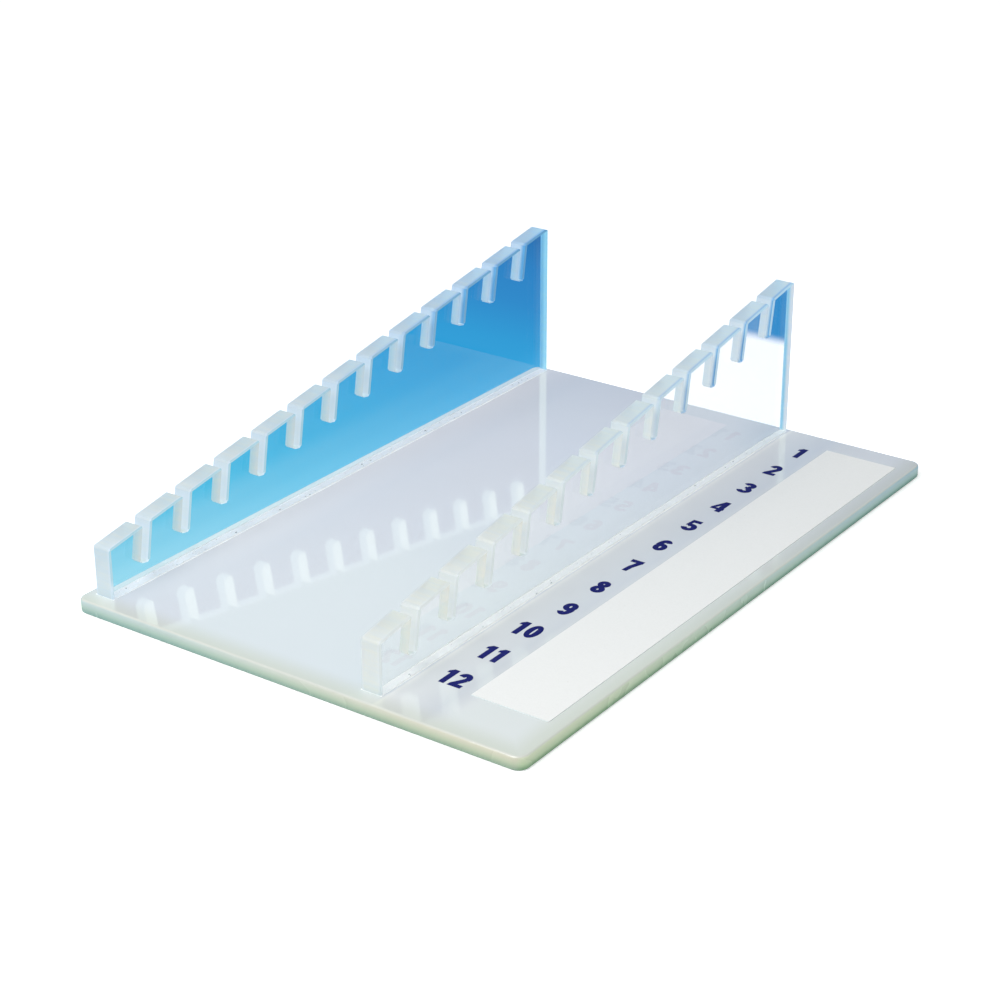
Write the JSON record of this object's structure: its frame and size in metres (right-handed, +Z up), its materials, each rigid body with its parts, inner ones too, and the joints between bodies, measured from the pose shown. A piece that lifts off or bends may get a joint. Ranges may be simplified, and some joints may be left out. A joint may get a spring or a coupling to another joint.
{
  "type": "stepped slotted lab rack",
  "caption": "Stepped acrylic rack: matching slotted clear walls on an opal plate hold thin slides or cards upright beside a write-on label.",
  "frame": {"origin": "centre of the base plate's underside", "axes": "+X across the walls from the left wall towards the label, +Y along the walls from their low end to their high end, +Z up"},
  "size_m": [0.1142, 0.1676, 0.0418],
  "materials": {
    "opal_acrylic": "polished opal white acrylic sheet with softened edges",
    "clear_acrylic": "clear cast acrylic sheet, polished faces and frosted sawn edges",
    "label_film": "matte white write-on film"
  },
  "bodies": {
    "root": {"base_plate": "opal_acrylic", "left_wall": "clear_acrylic", "right_wall": "clear_acrylic", "write_on_label": "label_film"}
  },
  "joints": []
}
